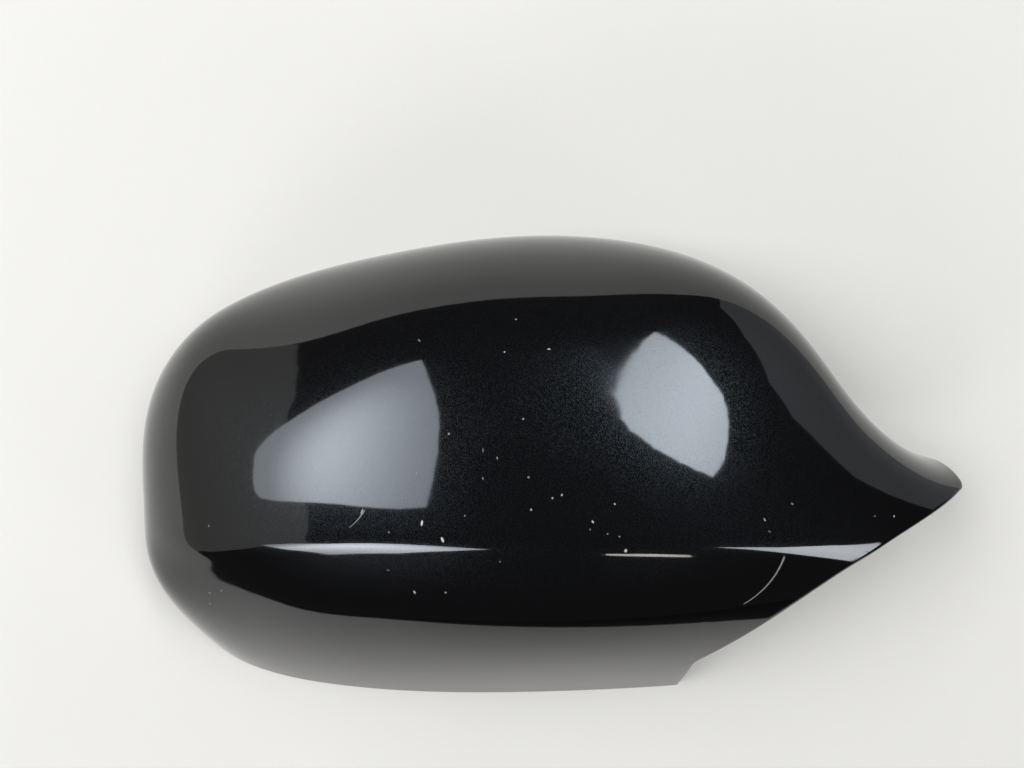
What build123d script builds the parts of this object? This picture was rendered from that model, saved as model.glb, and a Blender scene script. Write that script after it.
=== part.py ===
from build123d import *
import os
from math import cos, radians, sin

# Overall size in millimetres: +X runs from the outboard end to the tip, +Z out of the painted front,
# the rim lies on z = 0 and the origin is the middle of the outline
cover_length = 238.2
cover_width = 141.4
half_length = cover_length / 2
half_width = cover_width / 2
wall = 2.6

# The form is drawn past the rim and past the tip and cut back, so the walls keep their draft there
draw_depth = 10.0
run_past = 3.7
end_draft = 0.6            # outline at the draw line stands out this much past the rim, outboard end
top_draft = 0.7            # the same at the upper edge
foot_draft = 5.3           # the same at the lower edge, where the wall leans further

# Outline at the draw line, in shares of the half length and half width: the lower edge measured from
# its lowest line, the outboard end from its furthest point, the upper edge from its highest line
foot_line = [(0.437, 0.040), (-0.034, 0.0), (-0.537, 0.033), (-0.840, 0.211)]
foot_end = 0.175
end_line = [(0.038, -0.509), (0.0, -0.052), (0.077, 0.495)]
top_line = [
    (-0.759, 0.273), (-0.414, 0.088), (0.032, 0.0), (0.401, 0.133), (0.568, 0.351), (0.694, 0.622),
    (0.811, 0.816),
]
top_end = 0.970

# Crest of the crease: shares of the half length, half width and crease height, and where it runs out
crest_line = [
    (-0.803, -0.250, 0.590), (-0.453, -0.185, 0.896), (-0.049, -0.180, 1.0), (0.437, -0.205, 0.873),
    (0.680, -0.257, 0.694),
]
crest_end = (-0.366, 0.359)
crest_pull = (1.43, 1.0)    # how strongly the crest holds its direction at the nose and past the tip

# Crease along the front
crease_height = 64.7       # amidships
crease_angle = 24.7        # turn of the surface across the crease, degrees
crease_reach = 6.8         # how far the turn spreads to either side
crease_share = 0.12        # and at most this share of the width, where the form is narrow
crease_start = -116.0      # the turn grows from nothing here
crease_full = -84.0        # and has its full angle from here
panel_lean = 5.3           # rise of the upper panel just above the crease, degrees
foot_lean = 61.0           # slope of the lower wall at the rim, degrees
foot_hold = 0.30           # share of the lower wall that holds the slope of the rim
waist_hold = 0.36          # share of it that holds the slope under the crease

# Fullness of the shoulder above the crease: amidships, along the inboard sweep, at the outboard end
shoulder = 0.516
sweep_shoulder = 0.769
end_shoulder = 0.673
sweep_zone = (-2.6, 78.0)
end_zone = (-67.3, -104.8)

# Slanted inboard edge, cut for the mirror arm
notch_x = 43.4             # the lower wall ends here
notch_y = -53.5            # and the slant starts here
notch_radius = 5.0
slant = [(61.9, -35.4), (81.4, -21.0), (100.0, -12.2)]
tip_low = -4.0             # the slant meets the blunt end of the tip here
tip_radius = 2.6
edge_round = 1.0           # rolled outer edge along the cut
beak_start = 59.0          # the rim lifts off the table from here to the tip
beak_lift = 11.0
beak_slope = 0.25

# Snap hooks: a tongue with a barb, held to the wall by a web; placed by shares of the half length
# and half width, with the turn of the barb about Z
hook_width = 11.0
hook_thick = 2.2
hook_foot = 5.0            # height of the barb above the rim
barb_depth = 2.0
barb_height = 6.0
barb_land = 1.5
web_thick = 1.6
web_foot = 17.0            # height of the lower edge of the web at the tongue
web_rise = 8.0             # it climbs this much over its length
web_length = 16.0
hooks = [
    (-0.445, 0.715, 0), (-0.04, 0.835, 0), (0.31, 0.735, -22),
    (-0.51, -0.71, 180), (0.025, -0.735, 180), (-0.865, -0.085, 90),
]

# Locating posts: a pin that steps out to a thicker root with cross fins
posts = [(-0.645, 0.425), (0.445, 0.37)]
pin_radius = 3.0
pin_length = 12.0
pin_foot = 8.0             # height of the free end above the rim
root_radius = 4.0
fin_length = 16.0
fin_thick = 1.4

# Shallow ribs across the back of the front panel
ribs = [-0.505, -0.2, 0.17]
rib_thick = 1.2
rib_depth = 4.0
rib_foot = 12.0


def blend(x, start, end):
    """Smooth step from 0 at start to 1 at end."""
    t = min(max((x - start) / (end - start), 0.0), 1.0)
    return t * t * t * (t * (6 * t - 15) + 10)


def guide_curves(inset):
    """Outline at the draw line and crest of the crease, both drawn in by the inset."""
    nose = -half_length - end_draft
    end = half_length + run_past
    foot = -half_width - foot_draft
    top = half_width + top_draft
    rim_points = [(end, foot + foot_end * half_width)]
    rim_points += [(x * half_length, foot + y * half_width) for x, y in foot_line]
    rim_points += [(nose + x * half_length, y * half_width) for x, y in end_line]
    rim_points += [(x * half_length, top - y * half_width) for x, y in top_line]
    rim_points.append((end, top - top_end * half_width))
    crest_points = [(nose, end_line[1][1] * half_width, -draw_depth)]
    crest_points += [(x * half_length, y * half_width, z * crease_height) for x, y, z in crest_line]
    crest_points.append((end, crest_end[0] * half_width, crest_end[1] * crease_height))
    with BuildLine(mode=Mode.PRIVATE) as outline:
        Spline([(x, y, -draw_depth) for x, y in rim_points])
    with BuildLine(mode=Mode.PRIVATE) as crest:
        Spline(crest_points, tangents=((0, -0.2, 1), (1, -0.2, -0.6)), tangent_scalars=crest_pull)
    guides = [outline.edge(), crest.edge()]
    if inset == 0:
        return guides
    ridge = radians(panel_lean + crease_angle / 2)
    inner = []
    for guide, steps in zip(guides, (32, 12)):
        points = []
        for i in range(steps + 1):
            point = guide @ (i / steps)
            way = guide % (i / steps)
            if guide is guides[0]:
                outward = Vector(0, 0, 1).cross(way)
            else:
                away = Vector(point.X / half_length, -sin(ridge), cos(ridge))
                outward = (away - way * away.dot(way)).normalized()
            points.append(point - outward * inset)
        inner.append(Edge.make_spline(points))
    return inner


def section(x, guides):
    """Closed section of the form on the plane at x."""
    plane = Plane.YZ.offset(x)
    hits = guides[0].intersect(plane).sort_by(Axis.Y)
    low, high = (Vector(v.Y, v.Z) for v in (hits[0], hits[-1]))
    crest = [Vector(v.Y, v.Z) for v in guides[1].intersect(plane)][0]
    turn = crease_angle * blend(x, crease_start, crease_full)
    up = Vector(cos(radians(panel_lean)), sin(radians(panel_lean)))
    down = Vector(-cos(radians(panel_lean + turn)), -sin(radians(panel_lean + turn)))
    lean = Vector(cos(radians(foot_lean)), sin(radians(foot_lean)))
    panel = (crest - low).length
    reach = min(crease_reach, crease_share * (high.X - low.X))
    full = shoulder + (sweep_shoulder - shoulder) * blend(x, *sweep_zone)
    full += (end_shoulder - shoulder) * blend(x, *end_zone)
    with BuildSketch(plane) as face:
        with BuildLine():
            BSpline(
                [
                    low, low + lean * panel * foot_hold, crest + down * panel * waist_hold,
                    crest + down * reach, crest, crest + up * reach, crest + up * full * (high.X - crest.X),
                    high + Vector(0, full * (crest.Y - high.Y)), high,
                ],
                knots=[0, 0, 0, 0, 0.22, 0.36, 0.42, 0.48, 0.66, 1, 1, 1, 1],
                degree=3,
            )
            Line(high, low)
        make_face()
    return face.sketch


def form_sections(inset):
    """Sections of the form from just inside the outboard end to past the tip."""
    guides = guide_curves(inset)
    nose = -half_length - end_draft + inset
    stations = [nose * cos(radians(angle)) for angle in (2.5, 9, 17, 26, 36, 46, 57, 68, 79, 90)]
    stations += [half_length * share for share in (0.11, 0.25, 0.385, 0.495, 0.595, 0.695, 0.8, 0.9)]
    stations.append(half_length + 0.8 * run_past - inset)
    return [section(x, guides) for x in stations]


# Solids of the outside, of the hollow, of the mid wall that the fittings root in, and inside the ribs
with BuildPart() as form:
    loft(sections=form_sections(0))
    split(bisect_by=Plane.XY)

with BuildPart() as hollow:
    loft(sections=form_sections(wall))

with BuildPart() as bed:
    loft(sections=form_sections(wall / 2))

with BuildPart() as rib_core:
    loft(sections=form_sections(wall + rib_depth))

# What is cut away: all beyond the slant and the tip, and below the lifted rim of the beak
with BuildPart() as trim:
    with BuildSketch(Plane.XY.offset(-1)) as plan:
        with BuildLine():
            edge = Spline((notch_x, notch_y), *slant, (half_length, tip_low))
            Polyline(
                edge @ 1, (half_length, half_width), (cover_length, half_width),
                (cover_length, -cover_width), (notch_x, -cover_width), edge @ 0,
            )
        make_face()
        fillet(plan.vertices().sort_by_distance((half_length, tip_low, -1))[0], tip_radius)
        fillet(plan.vertices().sort_by_distance((notch_x, notch_y, -1))[0], notch_radius)
    extrude(amount=2 * crease_height)
    with BuildSketch(Plane.XZ):
        with BuildLine():
            lift = Spline(
                (beak_start, 0), (half_length + run_past, beak_lift), tangents=((1, 0), (1, beak_slope))
            )
            Polyline(lift @ 1, (half_length + run_past, -1), (beak_start, -1), lift @ 0)
        make_face()
    extrude(amount=half_width, both=True)

with BuildPart() as hook:
    barb_out = hook_thick + barb_depth
    barb_top = hook_foot + barb_height
    with BuildSketch(Plane.YZ):
        with BuildLine():
            Polyline(
                (0, hook_foot), (hook_thick, hook_foot), (barb_out, barb_top - barb_land),
                (barb_out, barb_top), (hook_thick, barb_top), (hook_thick, crease_height),
                (0, crease_height), (0, hook_foot),
            )
        make_face()
    extrude(amount=hook_width / 2, both=True)
    with BuildSketch(Plane.YZ):
        with BuildLine():
            Polyline(
                (hook_thick, web_foot), (web_length, web_foot + web_rise), (web_length, crease_height),
                (hook_thick, crease_height), (hook_thick, web_foot),
            )
        make_face()
    extrude(amount=web_thick / 2, both=True)

with BuildPart() as fittings:
    for x, y, turn in hooks:
        with Locations(Location((x * half_length, y * half_width, 0), (0, 0, turn))):
            add(hook.part)
    for x, y in posts:
        with Locations((x * half_length, y * half_width, pin_foot)):
            Cylinder(pin_radius, pin_length, align=(Align.CENTER, Align.CENTER, Align.MIN))
        with Locations((x * half_length, y * half_width, pin_foot + pin_length)):
            Cylinder(root_radius, crease_height, align=(Align.CENTER, Align.CENTER, Align.MIN))
            Box(fin_length, fin_thick, crease_height, align=(Align.CENTER, Align.CENTER, Align.MIN))
            Box(fin_thick, fin_length, crease_height, align=(Align.CENTER, Align.CENTER, Align.MIN))
    add(bed.part, mode=Mode.INTERSECT)

with BuildPart() as rib_set:
    for x in ribs:
        with Locations((x * half_length, 0, rib_foot)):
            Box(rib_thick, cover_width, crease_height, align=(Align.CENTER, Align.CENTER, Align.MIN))
    add(bed.part, mode=Mode.INTERSECT)
    add(rib_core.part, mode=Mode.SUBTRACT)

with BuildPart() as mirror_cover:
    add(form.part)
    add(hollow.part, mode=Mode.SUBTRACT)
    add(trim.part, mode=Mode.SUBTRACT)
    skin = mirror_cover.faces().sort_by(SortBy.AREA)[-1]
    fillet(skin.edges().filter_by_position(Axis.Z, beak_lift / 2, crease_height), edge_round)
    add(fittings.part)
    add(rib_set.part)

mirror_cover.part.label = "mirror_cover"
os.makedirs("parts", exist_ok=True)
export_step(mirror_cover.part, "parts/mirror_cover.step")
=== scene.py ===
import math

import bmesh
import bpy
import numpy as np
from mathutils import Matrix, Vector
from mathutils.bvhtree import BVHTree


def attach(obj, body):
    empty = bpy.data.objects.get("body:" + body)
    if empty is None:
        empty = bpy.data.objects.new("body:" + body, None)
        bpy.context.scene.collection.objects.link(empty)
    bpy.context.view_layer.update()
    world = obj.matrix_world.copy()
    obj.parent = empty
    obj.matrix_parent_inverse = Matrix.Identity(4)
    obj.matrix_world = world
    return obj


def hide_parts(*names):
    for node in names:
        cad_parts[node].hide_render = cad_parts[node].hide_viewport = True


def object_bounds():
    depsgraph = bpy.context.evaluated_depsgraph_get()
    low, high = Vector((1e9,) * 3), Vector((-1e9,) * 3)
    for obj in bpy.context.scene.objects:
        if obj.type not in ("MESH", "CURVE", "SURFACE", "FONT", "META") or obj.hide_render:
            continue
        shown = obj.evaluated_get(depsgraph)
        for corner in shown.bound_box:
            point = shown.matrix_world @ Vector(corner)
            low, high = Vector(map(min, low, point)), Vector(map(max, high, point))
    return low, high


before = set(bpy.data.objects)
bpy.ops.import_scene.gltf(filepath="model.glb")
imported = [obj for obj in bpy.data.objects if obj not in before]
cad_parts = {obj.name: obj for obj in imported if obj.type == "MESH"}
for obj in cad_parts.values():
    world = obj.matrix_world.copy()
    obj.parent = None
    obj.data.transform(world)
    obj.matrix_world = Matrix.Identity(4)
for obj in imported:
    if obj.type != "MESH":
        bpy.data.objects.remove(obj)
cad_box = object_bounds()

# Painted skin
# The outside of the cover is one freeform moulded surface under black paint and clear lacquer.
# It is laid over the same outline, crease and section as the solid, in millimetres, as one grid.
half_length = 119.1
half_width = 70.7
crease_height = 64.7
draw_depth = 10.0
nose = -half_length - 0.6
end = half_length + 3.7
foot = -half_width - 5.3
top = half_width + 0.7
curve_steps = 400


def smooth_curve(points, start=None, finish=None):
    """Dense points of a smooth curve through a few points, with set end directions where given."""
    p = np.array(points, float)
    n = len(p)
    t = np.concatenate([[0], np.cumsum(np.linalg.norm(np.diff(p, axis=0), axis=1))])
    h = np.diff(t)
    ends = []
    for way, at, near in ((start, 0, slice(0, 4)), (finish, n - 1, slice(max(n - 4, 0), n))):
        if way is None:
            way = np.polyfit(t[near] - t[at], p[near], min(3, len(t[near]) - 1))[-2]
        ends.append(np.array(way, float))
    a = np.eye(n)
    b = np.zeros_like(p)
    b[0], b[-1] = ends
    for i in range(1, n - 1):
        a[i, i - 1:i + 2] = h[i], 2 * (h[i - 1] + h[i]), h[i - 1]
        b[i] = 3 * (h[i] * (p[i] - p[i - 1]) / h[i - 1] + h[i - 1] * (p[i + 1] - p[i]) / h[i])
    m = np.linalg.solve(a, b)
    s = np.linspace(0, 1, curve_steps)[:, None]
    runs = []
    for i in range(n - 1):
        runs.append((2 * s**3 - 3 * s**2 + 1) * p[i] + (s**3 - 2 * s**2 + s) * h[i] * m[i]
                    + (3 * s**2 - 2 * s**3) * p[i + 1] + (s**3 - s**2) * h[i] * m[i + 1])
    return np.concatenate(runs)


# The outline is given in shares of the half sizes: along the foot, round the nose, along the top.
foot_line = [(0.437, 0.040), (-0.034, 0.0), (-0.537, 0.033), (-0.840, 0.211)]
nose_line = [(0.038, -0.509), (0.0, -0.052), (0.077, 0.495)]
top_line = [(-0.759, 0.273), (-0.414, 0.088), (0.032, 0.0), (0.401, 0.133), (0.568, 0.351),
            (0.694, 0.622), (0.811, 0.816)]
foot_at_end = 0.175
top_at_end = 0.970
outline = smooth_curve(
    [(end, foot + foot_at_end * half_width)]
    + [(x * half_length, foot + y * half_width) for x, y in foot_line]
    + [(nose + x * half_length, y * half_width) for x, y in nose_line]
    + [(x * half_length, top - y * half_width) for x, y in top_line]
    + [(end, top - top_at_end * half_width)])
turn_point = int(np.argmin(outline[:, 0]))
low_side = outline[:turn_point + 1][::-1]
high_side = outline[turn_point:]
crest_line = [(-0.803, -0.250, 0.590), (-0.453, -0.185, 0.896), (-0.049, -0.180, 1.0),
              (0.437, -0.205, 0.873), (0.680, -0.257, 0.694)]
crest_at_nose = nose_line[1][1]
crest_at_end = (-0.366, 0.359)
crest = smooth_curve(
    [(nose, crest_at_nose * half_width, -draw_depth)]
    + [(x * half_length, y * half_width, z * crease_height) for x, y, z in crest_line]
    + [(end, crest_at_end[0] * half_width, crest_at_end[1] * crease_height)],
    start=(0, -0.286, 1.43), finish=(1, -0.2, -0.6))


def ease(x, begin, stop):
    """A smooth step from 0 at one place to 1 at another."""
    share = min(max((x - begin) / (stop - begin), 0), 1)
    return share * share * share * (share * (6 * share - 15) + 10)


# Each section across the cover is one smooth spline. Its weights are the same all along.
section_knots = [0, 0, 0, 0, 0.22, 0.36, 0.42, 0.48, 0.66, 1, 1, 1, 1]
spans = len(section_knots) - 1
along = np.linspace(0, 1, 2401)
weights = np.zeros((len(along), spans))
for k in range(spans):
    weights[:, k] = (section_knots[k] <= along) & (along < section_knots[k + 1])
weights[-1, section_knots.index(1) - 1] = 1.0
for degree in (1, 2, 3):
    raised = np.zeros((len(along), spans - degree))
    for k in range(spans - degree):
        before = section_knots[k + degree] - section_knots[k]
        after = section_knots[k + degree + 1] - section_knots[k + 1]
        if before > 0:
            raised[:, k] += (along - section_knots[k]) / before * weights[:, k]
        if after > 0:
            raised[:, k] += (section_knots[k + degree + 1] - along) / after * weights[:, k + 1]
    weights = raised

shoulder_rise = 5.3
crease_bend = 24.7
bend_stretch = (-116.0, -84.0)
wall_lean = 61.0
wall_pull = 0.30
brow_pull = 0.36
crease_reach = 6.8
narrow_reach = 0.12
fullness = 0.516
inboard_fullness = 0.253
inboard_stretch = (-2.6, 78.0)
outboard_fullness = 0.157
outboard_stretch = (-67.3, -104.8)


def heading(degrees):
    """The way, in (y, z), that rises by an angle."""
    return np.array([math.cos(math.radians(degrees)), math.sin(math.radians(degrees))])


def pulls(x):
    """The nine points (x, y, z) that pull the section into shape at one place along the cover."""
    low = np.array([np.interp(x, low_side[:, 0], low_side[:, 1]), -draw_depth])
    high = np.array([np.interp(x, high_side[:, 0], high_side[:, 1]), -draw_depth])
    peak = np.array([np.interp(x, crest[:, 0], crest[:, k]) for k in (1, 2)])
    up = heading(shoulder_rise)
    down = -heading(shoulder_rise + crease_bend * ease(x, *bend_stretch))
    panel = np.linalg.norm(peak - low)
    reach = min(crease_reach, narrow_reach * (high[0] - low[0]))
    full = (fullness + inboard_fullness * ease(x, *inboard_stretch)
            + outboard_fullness * ease(x, *outboard_stretch))
    points = [low, low + heading(wall_lean) * panel * wall_pull, peak + down * panel * brow_pull,
              peak + down * reach, peak, peak + up * reach, peak + up * full * (high[0] - peak[0]),
              high + np.array([0, full * (peak[1] - high[1])]), high]
    return [(x, y, z) for y, z in points]


nose_angles = (2.5, 9, 17, 26, 36, 46, 57, 68, 79, 90)
body_shares = (0.11, 0.25, 0.385, 0.495, 0.595, 0.695, 0.8, 0.9)
stations = [nose * math.cos(math.radians(angle)) for angle in nose_angles]
stations += [half_length * share for share in body_shares]
stations.append(half_length + 3.0)
pull_lines = smooth_curve([np.array(pulls(x)).ravel() for x in stations])


def section(x):
    """Dense (y, z) points across the cover at one place along it, from low rim to high rim."""
    held = [np.interp(x, pull_lines[:, 0], line) for line in pull_lines.T]
    return weights @ np.array(held).reshape(-1, 3)[:, 1:]


def unit(ways):
    """Each way in an array at the length of one."""
    return ways / np.linalg.norm(ways, axis=1)[:, None]


# The inboard lower corner is cut away for the mirror arm, in a slightly curved slant with a small
# notch and a rounded tip. The skin's border stands a little inside the cut, so that the edge can
# roll over it.
notch_x = 43.4
notch_radius = 5.0
tip_radius = 2.6
roll = 1.25
slant = smooth_curve([(notch_x, -53.5), (61.9, -35.4), (81.4, -21.0), (100.0, -12.2),
                      (half_length, -4.0)])
slant_way = np.gradient(slant, axis=0)
slant_out = unit(np.stack([slant_way[:, 1], -slant_way[:, 0]], 1))
inner_slant = slant - slant_out * roll
notch_guide = slant + slant_out * notch_radius
tip_guide = slant - slant_out * tip_radius
notch_center = np.array([notch_x + notch_radius,
                         np.interp(notch_x + notch_radius, notch_guide[:, 0], notch_guide[:, 1])])
tip_center = np.array([half_length - tip_radius,
                       np.interp(half_length - tip_radius, tip_guide[:, 0], tip_guide[:, 1])])
slant_from = inner_slant[int(np.argmin(np.abs(notch_guide[:, 0] - notch_center[0])))]
slant_to = inner_slant[int(np.argmin(np.abs(tip_guide[:, 0] - tip_center[0])))]
notch_bend = notch_radius + roll
tip_bend = tip_radius - roll


def cut_border(x):
    """Border of the skin on the cut at x, and the way that faces off the skin there, in plan."""
    if x < slant_from[0]:
        y = notch_center[1] + math.sqrt(max(notch_bend * notch_bend - (x - notch_center[0])**2, 0))
        way = (notch_center - np.array([x, y])) / notch_bend
    elif x < slant_to[0]:
        y = np.interp(x, inner_slant[:, 0], inner_slant[:, 1])
        way = slant_out[int(np.argmin(np.abs(inner_slant[:, 0] - x)))]
    else:
        y = tip_center[1] - math.sqrt(max(tip_bend * tip_bend - (x - tip_center[0])**2, 0))
        way = (np.array([x, y]) - tip_center) / tip_bend
    return y, way


# Columns run across the cover, closest together at the nose, the notch and the tip. Rows keep to
# one place on the section, so that they follow the crease, where they lie closest; at the cut they
# crowd against its border.
dome_steps = 120
notch_steps = 6
slant_steps = 71
tip_steps = 8
near_nose = np.linspace(nose, nose + 4, 401)
first_x = float(np.interp(0.0, [section(x)[:, 1].max() for x in near_nose], near_nose))
notch_border = notch_x - roll
notch_angle = math.acos((notch_center[0] - slant_from[0]) / notch_bend)
tip_angle = math.asin((slant_to[0] - tip_center[0]) / tip_bend)
dome_share = 1 - np.cos(np.linspace(0, 1, dome_steps + 1) * math.pi / 2)
columns = list(first_x + (notch_border - first_x) * dome_share)
columns += [notch_center[0] - notch_bend * math.cos(notch_angle * k / notch_steps)
            for k in range(1, notch_steps + 1)]
columns += list(np.linspace(slant_from[0], slant_to[0], slant_steps + 1)[1:])
tip_turn = math.pi / 2 - tip_angle
columns += [tip_center[0] + tip_bend * math.sin(tip_angle + tip_turn * k / tip_steps)
            for k in range(1, tip_steps + 1)]
last = len(columns) - 1

wall_rows = 14
brow_rows = 16
crease_rows = 36
shoulder_rows = 48
crease_from = 0.345
crease_to = 0.485
crowding = 0.3
softness = 1e-6
lift_from = 59.0
lift_at_end = 11.0
beak = smooth_curve([(lift_from, 0.0), (end, lift_at_end)], start=(1, 0), finish=(1, 0.25))


def rim_height(x):
    """The rim lies flat and lifts a little towards the tip."""
    return np.interp(x, beak[:, 0], beak[:, 1], left=0.0)


def rim_places(x, across):
    """Where the section meets the rim on the low side and on the high side."""
    peak_at = int(np.argmax(across[:, 1]))
    low = np.interp(0.0, across[:peak_at + 1, 1], along[:peak_at + 1])
    return low, np.interp(rim_height(x), across[peak_at:, 1][::-1], along[peak_at:][::-1])


def place_at(y, across):
    """Where the section reaches a distance across the cover."""
    return np.interp(y, np.maximum.accumulate(across[:, 0]), along)


def points_at(x, places, across):
    """Points (x, y, z) at some places on a section."""
    return np.stack([0 * places + x, np.interp(places, along, across[:, 0]),
                     np.interp(places, along, across[:, 1])], 1)


def settle(places, low, high):
    """Places on the section crowded in between two ends, which the first and last of them meet."""
    off = places - low
    held = low + (off + np.sqrt(off * off + (crowding * off[0])**2 + softness)) / 2
    off = high - held
    held = high - (off + np.sqrt(off * off + (crowding * off[-1])**2 + softness)) / 2
    return low + (held - held[0]) * (high - low) / (held[-1] - held[0])


across = section(notch_border)
begin, stop = rim_places(notch_border, across)
tried = np.linspace(begin, stop, curve_steps)
split = np.interp(place_at(cut_border(notch_border)[0], across), settle(tried, begin, stop), tried)
places = np.concatenate([np.linspace(begin, split, wall_rows + 1)[:-1],
                         np.linspace(split, crease_from, brow_rows + 1)[:-1],
                         np.linspace(crease_from, crease_to, crease_rows + 1),
                         np.linspace(crease_to, stop, shoulder_rows + 1)[1:]])
rows = len(places) - 1

skin = np.zeros((last + 1, rows + 1, 3))
for i, x in enumerate(columns):
    across = section(x)
    begin, stop = rim_places(x, across)
    held = np.zeros(rows + 1)
    if i <= dome_steps:
        held = settle(places, begin, stop)
    else:
        border_at = place_at(cut_border(x)[0], across)
        held[wall_rows:] = settle(places[wall_rows:], border_at, stop)
    skin[i] = points_at(x, held, across)
across = section(half_length)
end_stop = rim_places(half_length, across)[1]
end_border = place_at(tip_center[1], across)
share = (held[wall_rows + 1:] - border_at) * (end_stop - end_border) / (stop - border_at)
end_face = points_at(half_length, end_border + share, across)
skin[0] = skin[0].mean(axis=0)
skin[0, :, 2] = 0.0
skin[:dome_steps + 1, 0, 2] = 0.0


def grid_through(points):
    """A grid laid through an array of points, and its vertices in the order of the points."""
    bm = bmesh.new()
    bmesh.ops.create_grid(
        bm, x_segments=points.shape[0] - 1, y_segments=points.shape[1] - 1, size=1.0)
    order = sorted(bm.verts, key=lambda v: (round(v.co.x, 5), round(v.co.y, 5)))
    for v, point in zip(order, points.reshape(-1, 3)):
        v.co = point
    return bm, order


bm, order = grid_through(skin)
spare = [v for k, v in enumerate(order)
         if k // (rows + 1) > dome_steps and k % (rows + 1) < wall_rows]
bmesh.ops.delete(bm, geom=spare, context="VERTS")

# At the cut the skin rolls over a small radius and runs down the wall's end face. This is a band
# of its own along the border, from the foot of the notch to the rim at the tip, where it turns
# straight down.
turned_in = 1.0
edge_depth = 2.2
straight_near = 1.5
straight_fade = 5.0
seam_gap = 0.004
sliver = 0.0005
inboard = np.array([1.0, 0.0])
path = [(skin[dome_steps, j], inboard) for j in range(wall_rows)]
path += [(skin[i, wall_rows], cut_border(columns[i])[1]) for i in range(dome_steps, last + 1)]
path += [(skin[last, j], inboard) for j in range(wall_rows + 1, rows + 1)]
border = np.array([p for p, way in path])
sharp = border.copy()
sharp[:, :2] += np.array([way for p, way in path]) * roll
for p in sharp:
    across = section(p[0])
    height = np.interp(p[1], np.maximum.accumulate(across[:, 0]), across[:, 1])
    p[2] = max(height, rim_height(p[0]))
sharp[-len(end_face):] = end_face
travel = np.gradient(sharp, axis=0)
plan = np.linalg.norm(travel[:, :2], axis=1)
inward = np.zeros_like(sharp)
inward[:, :2] = travel[:, :2] / plan[:, None] * travel[:, 2:]
inward[:, 2] = -plan
run = np.concatenate([[0], np.cumsum(np.linalg.norm(np.diff(sharp, axis=0), axis=1))])
from_tip = np.abs(run - run[wall_rows + last - dome_steps - tip_steps // 2])
down = np.array([1 - ease(d, straight_near, straight_fade) for d in from_tip])[:, None]
inward = unit(unit(inward) * (1 - down) + np.array([0.0, 0.0, -1.0]) * down)
bands = [border]
for s in (0.2, 0.4, 0.6, 0.8, 1.0):
    bands.append((1 - s)**2 * border + 2 * s * (1 - s) * sharp
                 + s * s * (sharp + inward * turned_in))
bands.append(sharp + inward * edge_depth)
bands = np.stack(bands, 1)
bands[:, :, 2] = np.maximum(bands[:, :, 2], rim_height(bands[:, :, 0]))
bands[-len(end_face):, :, 1] = np.maximum(bands[-len(end_face):, :, 1], tip_center[1])
edge = grid_through(bands)[0]
edge_mesh = bpy.data.meshes.new("rolled_edge")
edge.to_mesh(edge_mesh)
edge.free()
bm.from_mesh(edge_mesh)
bpy.data.meshes.remove(edge_mesh)
bmesh.ops.remove_doubles(bm, verts=bm.verts, dist=seam_gap)
bmesh.ops.dissolve_degenerate(bm, edges=bm.edges, dist=sliver)
bmesh.ops.recalc_face_normals(bm, faces=bm.faces)
if sum(f.normal.z * f.calc_area() for f in bm.faces) < 0:
    bmesh.ops.reverse_faces(bm, faces=bm.faces)


def hold_in_box(verts):
    """Keep vertices inside the box of the solid."""
    for v in verts:
        v.co = [min(max(c, a), b) for c, a, b in zip(v.co, *cad_box)]


def new_piece(name, bm):
    """Make a finished mesh an object of the scene, at the origin."""
    mesh = bpy.data.meshes.new(name)
    bm.to_mesh(mesh)
    bm.free()
    piece = bpy.data.objects.new(name, mesh)
    bpy.context.scene.collection.objects.link(piece)
    return piece


# From here on sizes are in metres. The paint gets its thickness inwards, and its borders stay
# crisp.
millimetre = 0.001
paint_thickness = 0.0002
crisp_angle = 0.8
bmesh.ops.scale(bm, vec=Vector((millimetre, millimetre, millimetre)), verts=bm.verts)
paint_surface = BVHTree.FromBMesh(bm)
made = bmesh.ops.extrude_face_region(bm, geom=bm.faces[:], use_keep_orig=True)
under = [g for g in made["geom"] if isinstance(g, bmesh.types.BMVert)]
bm.normal_update()
for v in under:
    v.co -= v.normal * paint_thickness
bmesh.ops.recalc_face_normals(bm, faces=bm.faces[:])
hold_in_box(bm.verts)
for f in bm.faces:
    f.smooth = True
for e in bm.edges:
    e.smooth = e.calc_face_angle(0.0) < crisp_angle
painted_skin = new_piece("painted_skin", bm)


def add(tree, kind, **settings):
    """A node of a material or group, with its plain settings."""
    node = tree.nodes.new("ShaderNode" + kind)
    for name, value in settings.items():
        setattr(node, name, value)
    return node


def feed(tree, socket, value):
    """Give a socket what another node puts out, or a plain value."""
    if isinstance(value, bpy.types.NodeSocket):
        tree.links.new(value, socket)
    else:
        socket.default_value = value


def math_node(tree, operation, first, second=None):
    """One step of arithmetic on values."""
    node = add(tree, "Math", operation=operation)
    feed(tree, node.inputs[0], first)
    if second is not None:
        feed(tree, node.inputs[1], second)
    return node.outputs[0]


def vector_node(tree, operation, first, second=None):
    """One step of arithmetic on places."""
    node = add(tree, "VectorMath", operation=operation)
    feed(tree, node.inputs[0], first)
    if second is not None:
        feed(tree, node.inputs[1], second)
    return node.outputs["Value" if operation == "LENGTH" else "Vector"]


def span(tree, value, levels, results=(0.0, 1.0)):
    """A smooth step of a value between two levels, from one result to another."""
    node = add(tree, "MapRange", interpolation_type="SMOOTHSTEP")
    feed(tree, node.inputs["Value"], value)
    for name, number in zip(("From Min", "From Max", "To Min", "To Max"), (*levels, *results)):
        node.inputs[name].default_value = number
    return node.outputs["Result"]


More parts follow.
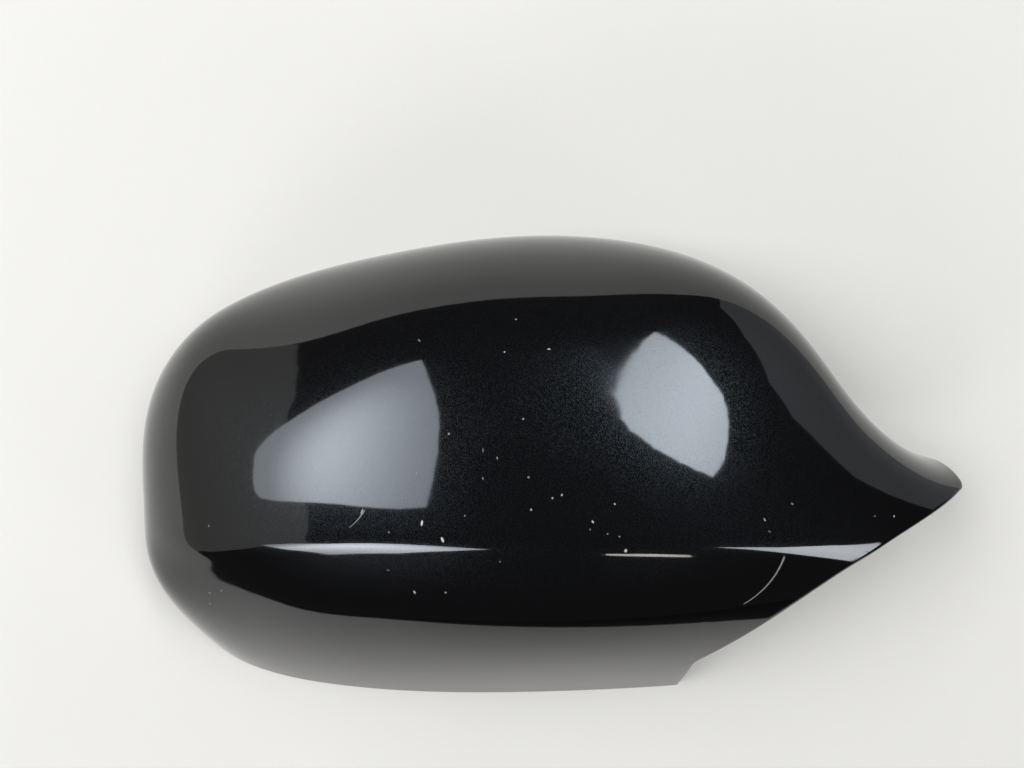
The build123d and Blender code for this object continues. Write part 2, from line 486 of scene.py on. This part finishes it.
def mask_group(name, **inputs):
    """An empty group of nodes: itself, what it is given, and the mask that it puts out."""
    tree = bpy.data.node_groups.new(name, "ShaderNodeTree")
    for label, kind in inputs.items():
        tree.interface.new_socket(label, in_out="INPUT", socket_type="NodeSocket" + kind)
    tree.interface.new_socket("Mask", in_out="OUTPUT", socket_type="NodeSocketFloat")
    given = tree.nodes.new("NodeGroupInput").outputs
    return tree, given, tree.nodes.new("NodeGroupOutput").inputs["Mask"]


# Dust: grains of up to one size in cells of a chosen scale, of which only some cells hold one.
dust_grains, given, mask = mask_group(
    "dust_grains", Vector="Vector", Scale="Float", Size="Float", Share="Float")
cells = add(dust_grains, "TexVoronoi", feature="F1")
feed(dust_grains, cells.inputs["Vector"], given["Vector"])
feed(dust_grains, cells.inputs["Scale"], given["Scale"])
chance = add(dust_grains, "SeparateColor")
feed(dust_grains, chance.inputs["Color"], cells.outputs["Color"])
size = math_node(dust_grains, "MULTIPLY", given["Size"], chance.outputs["Green"])
inside = math_node(dust_grains, "SUBTRACT", size, cells.outputs["Distance"])
grain = span(dust_grains, inside, (0.0, 0.02))
present = math_node(dust_grains, "LESS_THAN", chance.outputs["Red"], given["Share"])
feed(dust_grains, mask, math_node(dust_grains, "MULTIPLY", grain, present))

# Scratch: a thin arc on the paint, seen from above, that fades at both ends and widens one way.
seen_from_above = (1, 1, 0)
scratch_arc, given, mask = mask_group(
    "scratch_arc", Vector="Vector", Centre="Vector", Radius="Float", Middle="Vector",
    Reach="Float", Width="Float", Grow="Float")
from_centre = vector_node(scratch_arc, "SUBTRACT", given["Vector"], given["Centre"])
flat = vector_node(scratch_arc, "MULTIPLY", from_centre, seen_from_above)
radius = vector_node(scratch_arc, "LENGTH", flat)
off_arc = math_node(scratch_arc, "ABSOLUTE",
                    math_node(scratch_arc, "SUBTRACT", radius, given["Radius"]))
from_middle = vector_node(scratch_arc, "SUBTRACT", flat, given["Middle"])
apart = add(scratch_arc, "SeparateXYZ")
feed(scratch_arc, apart.inputs[0], from_middle)
upward = math_node(scratch_arc, "DIVIDE", apart.outputs["Y"], given["Reach"])
growth = math_node(scratch_arc, "MULTIPLY", upward, given["Grow"])
wider = math_node(scratch_arc, "ADD", growth, 1.0)
width = math_node(scratch_arc, "MULTIPLY", given["Width"], wider)
beside = span(scratch_arc, math_node(scratch_arc, "DIVIDE", off_arc, width), (1.0, 0.4))
from_here = vector_node(scratch_arc, "LENGTH", from_middle)
lengthwise = math_node(scratch_arc, "DIVIDE", from_here, given["Reach"])
fading = span(scratch_arc, lengthwise, (1.0, 0.9))
feed(scratch_arc, mask, math_node(scratch_arc, "MULTIPLY", beside, fading))

# Fleck: one grain of dirt at a place seen from above, longer one way than the other.
dirt_fleck, given, mask = mask_group(
    "dirt_fleck", Vector="Vector", Place="Vector", Turn="Float", Size="Vector", Strength="Float")
from_place = vector_node(dirt_fleck, "SUBTRACT", given["Vector"], given["Place"])
turned = add(dirt_fleck, "VectorRotate", rotation_type="Z_AXIS")
feed(dirt_fleck, turned.inputs["Vector"],
     vector_node(dirt_fleck, "MULTIPLY", from_place, seen_from_above))
feed(dirt_fleck, turned.inputs["Angle"], given["Turn"])
sized = vector_node(dirt_fleck, "DIVIDE", turned.outputs[0], given["Size"])
grain = span(dirt_fleck, vector_node(dirt_fleck, "LENGTH", sized), (1.0, 0.5))
feed(dirt_fleck, mask, math_node(dirt_fleck, "MULTIPLY", grain, given["Strength"]))


def place_group(tree, group, vector, **values):
    """One use of a group in a material, with its own values."""
    node = add(tree, "Group", node_tree=group)
    feed(tree, node.inputs["Vector"], vector)
    for name, value in values.items():
        feed(tree, node.inputs[name], value)
    return node.outputs["Mask"]


def new_material(name):
    """A material of nodes: itself, its tree and its shader."""
    material = bpy.data.materials.new(name)
    material.use_nodes = True
    return material, material.node_tree, material.node_tree.nodes["Principled BSDF"]


def noise(tree, vector, scale, detail):
    """Soft irregular patches."""
    node = add(tree, "TexNoise")
    feed(tree, node.inputs["Vector"], vector)
    node.inputs["Scale"].default_value = scale
    node.inputs["Detail"].default_value = detail
    return node.outputs["Fac"]


def blend(tree, share, first, second):
    """A colour between two, by share."""
    node = add(tree, "Mix", data_type="RGBA")
    feed(tree, node.inputs["Factor"], share)
    node.inputs["A"].default_value = (*first, 1)
    node.inputs["B"].default_value = (*second, 1)
    return node.outputs["Result"]


def relief(tree, height, strength, distance):
    """A fine relief, as a normal."""
    node = add(tree, "Bump")
    node.inputs["Strength"].default_value = strength
    node.inputs["Distance"].default_value = distance
    feed(tree, node.inputs["Height"], height)
    return node.outputs["Normal"]


# Black lacquer: a deep gloss with a film of fine dust, two scratches and placed flecks of dirt.
# Each fleck has a place (x, y), a turn in degrees, width, length and strength, in millimetres.
deep_black = (0.0015, 0.0015, 0.0017)
dirt_grey = (0.60, 0.57, 0.53)
black_paint, tree, gloss = new_material("black_lacquer")
spot = add(tree, "TexCoord").outputs["Object"]
patches = noise(tree, spot, scale=22.0, detail=3.0)
settled = span(tree, patches, (0.35, 0.65), (0.6, 1.2))
fine = place_group(tree, dust_grains, spot, Scale=9000.0, Size=0.7, Share=settled)
coarse = place_group(tree, dust_grains, spot, Scale=130.0, Size=0.045, Share=0.1)
marks = math_node(tree, "MULTIPLY", coarse, 0.4)
long_scratch = place_group(
    tree, scratch_arc, spot, Centre=(0.0398, -0.0149, 0.0), Radius=0.0192,
    Middle=(0.0163, -0.0102, 0.0), Reach=0.0084, Width=0.00026, Grow=0.45)
short_scratch = place_group(
    tree, scratch_arc, spot, Centre=(-0.0582, 0.005, 0.0), Radius=0.0182,
    Middle=(0.0135, -0.0121, 0.0), Reach=0.0031, Width=0.00014, Grow=0.5)
for scratch, strength in ((long_scratch, 0.45), (short_scratch, 0.35)):
    marks = math_node(tree, "MAXIMUM", marks, math_node(tree, "MULTIPLY", scratch, strength))
flecks = (
    (-29.2, -7.5, -10, 0.30, 0.85, 1.0), (-24.4, -11.4, 20, 0.36, 0.85, 0.9),
    (-32.0, -25.9, 20, 0.3, 0.6, 0.7), (-24.3, -25.7, 0, 0.3, 0.3, 0.6),
    (18.4, -14.1, 0, 0.45, 0.55, 0.8), (1.1, -1.4, 0, 0.27, 0.27, 0.7),
    (3.3, -0.7, -40, 0.26, 0.34, 0.7), (-3.8, -4.1, 0, 0.26, 0.34, 0.7),
    (15.6, -2.9, 30, 0.25, 0.33, 0.7), (10.5, -7.0, 30, 0.27, 0.5, 0.7),
    (-10.0, 32.6, 0, 0.25, 0.27, 0.8), (0.7, 33.3, 90, 0.24, 0.5, 0.7),
    (-5.6, 16.8, 0, 0.24, 0.26, 0.7), (91.2, -9.5, 0, 0.34, 0.34, 0.7),
    (52.7, -7.8, 30, 0.22, 0.6, 0.7), (60.1, -4.3, 55, 0.22, 0.5, 0.45),
    (54.1, -10.8, 55, 0.22, 0.45, 0.35), (-37.1, -9.9, 0, 0.27, 0.27, 0.4),
    (-19.1, -5.6, 0, 0.26, 0.26, 0.35), (-38.0, -19.9, 90, 0.22, 0.5, 0.25),
    (-4.4, 3.4, 0, 0.3, 0.34, 0.4), (9.9, -8.8, 0, 0.22, 0.26, 0.35),
    (14.0, -9.9, 0, 0.26, 0.26, 0.35), (16.8, -10.6, 0, 0.25, 0.25, 0.4),
    (-11.0, -16.8, 0, 0.28, 0.28, 0.3), (-7.2, 40.9, 90, 0.22, 0.34, 0.5),
    (-22.9, 13.3, 0, 0.28, 0.32, 0.4), (-14.9, 9.6, 5, 0.18, 0.7, 0.25),
    (-11.6, 7.8, 10, 0.2, 0.45, 0.4), (-14.9, 3.1, 10, 0.2, 0.4, 0.4),
    (-31.0, 35.6, 50, 0.22, 0.6, 0.35), (-85.6, -11.3, 0, 0.28, 0.4, 0.25),
    (-85.0, -29.7, 0, 0.3, 0.3, 0.4), (-89.1, -31.0, 0, 0.34, 0.3, 0.4),
    (-90.1, -34.6, 60, 0.22, 0.5, 0.3), (84.9, -9.0, 90, 0.2, 0.5, 0.25),
    (-43.6, -5.2, -20, 0.22, 0.9, 0.55))
for x, y, turn, wide, long, strength in flecks:
    fleck = place_group(
        tree, dirt_fleck, spot, Place=(x * millimetre, y * millimetre, 0.0),
        Turn=math.radians(-turn), Size=(wide * millimetre, long * millimetre, 1.0),
        Strength=strength)
    marks = math_node(tree, "MAXIMUM", marks, fleck)
feed(tree, gloss.inputs["Base Color"], blend(tree, marks, deep_black, dirt_grey))
haze = noise(tree, spot, scale=60.0, detail=5.0)
sheen = span(tree, haze, (0.3, 0.75), (0.04, 0.08))
dull = math_node(tree, "MAXIMUM", math_node(tree, "MULTIPLY", fine, 0.3),
                 math_node(tree, "MULTIPLY", marks, 0.8))
feed(tree, gloss.inputs["Roughness"], math_node(tree, "MAXIMUM", sheen, dull))
feed(tree, gloss.inputs["Coat Weight"], span(tree, marks, (0.05, 0.6), (1.0, 0.1)))
gloss.inputs["Coat Roughness"].default_value = 0.045
facing = add(tree, "LayerWeight").outputs["Facing"]
feed(tree, gloss.inputs["Specular IOR Level"], span(tree, facing, (0.12, 0.42), (0.55, 0.0)))
gloss.inputs["Specular Tint"].default_value = (0.74, 0.87, 1.0, 1)
ripple = noise(tree, spot, scale=260.0, detail=1.0)
peel = relief(tree, ripple, strength=0.004, distance=0.001)
feed(tree, gloss.inputs["Normal"], peel)
feed(tree, gloss.inputs["Coat Normal"], peel)
painted_skin.data.materials.append(black_paint)
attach(painted_skin, "root")

# Moulding
# Under the paint is one injection moulding in black plastic, bare inside, with hooks, posts and
# ribs. It is a copy of the solid whose outside lies just under the paint.
near_paint = 0.0012
paint_depth = 0.0004
same_way = 0.2
fold_angle = 0.5
same_point = 0.00001
bm = bmesh.new()
bm.from_mesh(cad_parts["mirror_cover"].data)
bmesh.ops.remove_doubles(bm, verts=bm.verts, dist=same_point)
bm.normal_update()
painted_over = []
for v in bm.verts:
    near, normal, _, gap = paint_surface.find_nearest(v.co)
    if gap < near_paint:
        v.co = near - (normal if normal.dot(v.normal) > same_way else v.normal) * paint_depth
        painted_over.append(v)
hold_in_box(painted_over)
bm.normal_update()
for f in bm.faces:
    f.smooth = True
for e in bm.edges:
    e.smooth = not (len(e.link_faces) == 2 and e.calc_face_angle(0.0) > fold_angle)
moulding = new_piece("moulding", bm)
plastic_black = (0.015, 0.015, 0.016)
dust_grey = (0.5, 0.48, 0.45)
bare_plastic, tree, matt = new_material("bare_plastic")
spot = add(tree, "TexCoord").outputs["Object"]
texture = noise(tree, spot, scale=900.0, detail=3.0)
flow = span(tree, noise(tree, spot, scale=25.0, detail=2.0), (0.3, 0.7), (0.0, 0.012))
dust = place_group(tree, dust_grains, spot, Scale=500.0, Size=0.3, Share=0.2)
pale_share = math_node(tree, "ADD", math_node(tree, "MULTIPLY", dust, 0.1), flow)
feed(tree, matt.inputs["Base Color"], blend(tree, pale_share, plastic_black, dust_grey))
feed(tree, matt.inputs["Roughness"], span(tree, texture, (0.3, 0.7), (0.42, 0.58)))
feed(tree, matt.inputs["Normal"], relief(tree, texture, strength=0.15, distance=0.0001))
moulding.data.materials.append(bare_plastic)
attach(moulding, "root")
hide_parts("mirror_cover")

# Table
# The cover lies on its rim on a plain pale laminate board with one rounded corner.
# The board stands over a dark floor, which the lower wall mirrors past the board's edge.
board_size = (1.415, 1.31, 0.012)
board_middle = (-0.4925, 0.325, -0.006)
corner_radius = 0.38
edge_radius = 0.0015
bm = bmesh.new()
bmesh.ops.create_cube(bm, size=1.0)
bmesh.ops.scale(bm, vec=Vector(board_size), verts=bm.verts)
bmesh.ops.translate(bm, vec=Vector(board_middle), verts=bm.verts)
corner = [e for e in bm.edges if all(v.co.x > 0 and v.co.y < 0 for v in e.verts)]
bmesh.ops.bevel(bm, geom=corner, offset=corner_radius, segments=24, profile=0.5,
                affect="EDGES", material=-1)
bmesh.ops.bevel(bm, geom=bm.edges[:], offset=edge_radius, segments=3, profile=0.5,
                affect="EDGES", material=-1)
pale_board = new_piece("pale_board", bm)
laminate_grey = (0.71, 0.68, 0.635)
laminate_white = (0.75, 0.72, 0.672)
board_finish, tree, board_shader = new_material("pale_laminate")
cloud = noise(tree, add(tree, "TexCoord").outputs["Object"], scale=9.0, detail=6.0)
feed(tree, board_shader.inputs["Base Color"], blend(tree, cloud, laminate_grey, laminate_white))
feed(tree, board_shader.inputs["Roughness"], span(tree, cloud, (0.3, 0.7), (0.55, 0.65)))
pale_board.data.materials.append(board_finish)

floor_level = -0.7
floor_reach = 6.0
bm = bmesh.new()
bmesh.ops.create_grid(bm, x_segments=1, y_segments=1, size=floor_reach)
bmesh.ops.translate(bm, vec=Vector((0, 0, floor_level)), verts=bm.verts)
dark_floor = new_piece("dark_floor", bm)
floor_brown = (0.19, 0.17, 0.167)
floor_grey = (0.25, 0.23, 0.226)
floor_finish, tree, floor_shader = new_material("dark_floor")
cloud = noise(tree, add(tree, "TexCoord").outputs["Object"], scale=4.0, detail=5.0)
feed(tree, floor_shader.inputs["Base Color"], blend(tree, cloud, floor_brown, floor_grey))
floor_shader.inputs["Roughness"].default_value = 0.8
dark_floor.data.materials.append(floor_finish)

# Light and camera
# Two large overhead panes of soft daylight, one each side, smaller ones low in front, and pale
# walls to the left and right of a dim room. The camera looks straight down.
world = bpy.data.worlds.new("room")
bpy.context.scene.world = world
world.use_nodes = True
world.node_tree.nodes["Background"].inputs["Color"].default_value = (0.045, 0.045, 0.048, 1)


def pane(name, corners, radiance, colour, middle=None, reach=None, border=None):
    """A glowing pane out of the camera's sight: even, or dimmer away from its middle."""
    bm = bmesh.new()
    bm.faces.new([bm.verts.new(c) for c in corners])
    o = new_piece(name, bm)
    o.visible_camera = False
    glow, tree, shader = new_material(name)
    shader.inputs["Base Color"].default_value = (0, 0, 0, 1)
    shader.inputs["Specular IOR Level"].default_value = 0.0
    shader.inputs["Emission Color"].default_value = (*colour, 1)
    shader.inputs["Emission Strength"].default_value = radiance
    if middle:
        spot = add(tree, "TexCoord").outputs["Object"]
        from_middle = vector_node(tree, "SUBTRACT", spot, middle)
        far = vector_node(tree, "LENGTH", vector_node(tree, "DIVIDE", from_middle, reach))
        feed(tree, shader.inputs["Emission Strength"],
             span(tree, far, (0.0, 1.0), (radiance, radiance * border)))
    o.data.materials.append(glow)


overhead = 1.6
in_front = -1.8
to_left = -3.4
to_right = 1.8
pane("left_pane", [(x, y, overhead) for x, y in (
    (-3.30, 0.08), (-3.29, -0.22), (-3.22, -0.44), (-3.04, -0.56), (-2.58, -0.56), (-1.88, -0.52),
    (-1.48, -0.51), (-1.08, -0.52), (-0.81, -0.51), (-0.60, -0.47), (-0.57, -0.35), (-0.54, -0.14),
    (-0.51, 0.21), (-0.53, 0.61), (-0.57, 0.90), (-0.68, 1.38), (-0.79, 1.73), (-0.96, 2.26),
    (-1.23, 3.01), (-1.53, 2.86), (-1.83, 2.61), (-2.12, 2.33), (-2.35, 2.13), (-2.54, 1.93),
    (-2.67, 1.73), (-2.77, 1.50), (-2.89, 1.28), (-3.01, 1.04), (-3.14, 0.80), (-3.25, 0.57),
    (-3.30, 0.34))],
    radiance=6.0, colour=(0.93, 0.96, 1.0),
    middle=(-1.6, 0.3, overhead), reach=(1.3, 2.2, 1), border=0.4)
pane("right_pane", [(x, y, overhead) for x, y in (
    (0.48, 3.51), (0.58, 2.57), (0.71, 1.86), (0.82, 1.46), (0.94, 1.10), (1.05, 0.83),
    (1.17, 0.59), (1.28, 0.37), (1.34, 0.17), (1.37, 0.0), (1.37, -0.15), (1.33, -0.25),
    (1.28, -0.32), (1.07, -0.21), (0.91, -0.10), (0.79, 0.01), (0.68, 0.12), (0.59, 0.25),
    (0.49, 0.41), (0.42, 0.62), (0.38, 0.87), (0.35, 1.12), (0.34, 1.42), (0.335, 1.70),
    (0.335, 1.92), (0.34, 2.20), (0.355, 2.50), (0.385, 2.92))],
    radiance=6.6, colour=(0.93, 0.97, 1.0),
    middle=(0.9, 0.7, overhead), reach=(0.8, 2.6, 1), border=0.75)
pane("front_left_pane", [(x, in_front, z) for x, z in (
    (-2.57, 1.15), (-2.11, 1.28), (-1.45, 1.12), (-0.88, 1.21), (-0.51, 1.16), (-0.24, 1.09),
    (-0.45, 0.84), (-0.69, 0.62), (-1.07, 0.49), (-1.49, 0.62))],
    radiance=9.6, colour=(0.93, 0.95, 1.0),
    middle=(-1.1, in_front, 0.87), reach=(1.2, 1, 0.5), border=0.3)
pane("front_tube", [(x, in_front, z) for x, z in (
    (0.45, 0.86), (0.71, 0.79), (0.93, 0.65), (0.91, 0.58), (0.68, 0.68), (0.44, 0.78))],
    radiance=6.4, colour=(1.0, 0.94, 0.80),
    middle=(0.7, in_front, 0.7), reach=(0.4, 1, 0.4), border=0.8)
pane("front_right_pane", [(to_right, y, z) for y, z in (
    (-2.31, 1.53), (-1.53, 0.89), (-0.92, 0.69), (-0.58, 0.53), (-1.08, 0.44), (-1.73, 0.11),
    (-1.85, 0.33), (-1.94, 0.56), (-2.07, 0.99))],
    radiance=7.0, colour=(0.91, 0.95, 1.0),
    middle=(to_right, -1.2, 0.5), reach=(1, 1.2, 1.2), border=0.7)
pane("left_wall", [(to_left, y, z) for y, z in (
    (4.15, floor_level), (3.94, 0.0), (3.22, 0.87), (2.46, 1.50), (0.68, 2.21), (-1.10, 2.91),
    (-1.44, 2.90), (-3.46, 2.37), (-2.64, 2.02), (-2.61, 0.95), (-2.48, 0.58), (-2.38, 0.33),
    (-2.27, 0.08), (-2.05, -0.02), (-2.05, floor_level))],
    radiance=0.45, colour=(1.0, 0.98, 0.95))
pane("right_wall", [(to_right, y, z) for y, z in (
    (3.82, floor_level), (3.82, 0.25), (2.04, 1.06), (0.69, 1.23), (0.17, 0.99), (-0.04, 0.72),
    (-0.16, 0.55), (-0.14, 0.2), (-0.1, floor_level))],
    radiance=0.43, colour=(0.93, 0.96, 1.0))

image_width = 1024
focal_pixels = 829
camera = bpy.data.cameras.new("camera")
camera.sensor_width = 36.0
camera.lens = focal_pixels / image_width * camera.sensor_width
camera_object = bpy.data.objects.new("camera", camera)
camera_object.location = (-0.0082, 0.0249, 0.2567)
bpy.context.scene.collection.objects.link(camera_object)
bpy.context.scene.camera = camera_object
bpy.context.scene.view_settings.view_transform = "Standard"
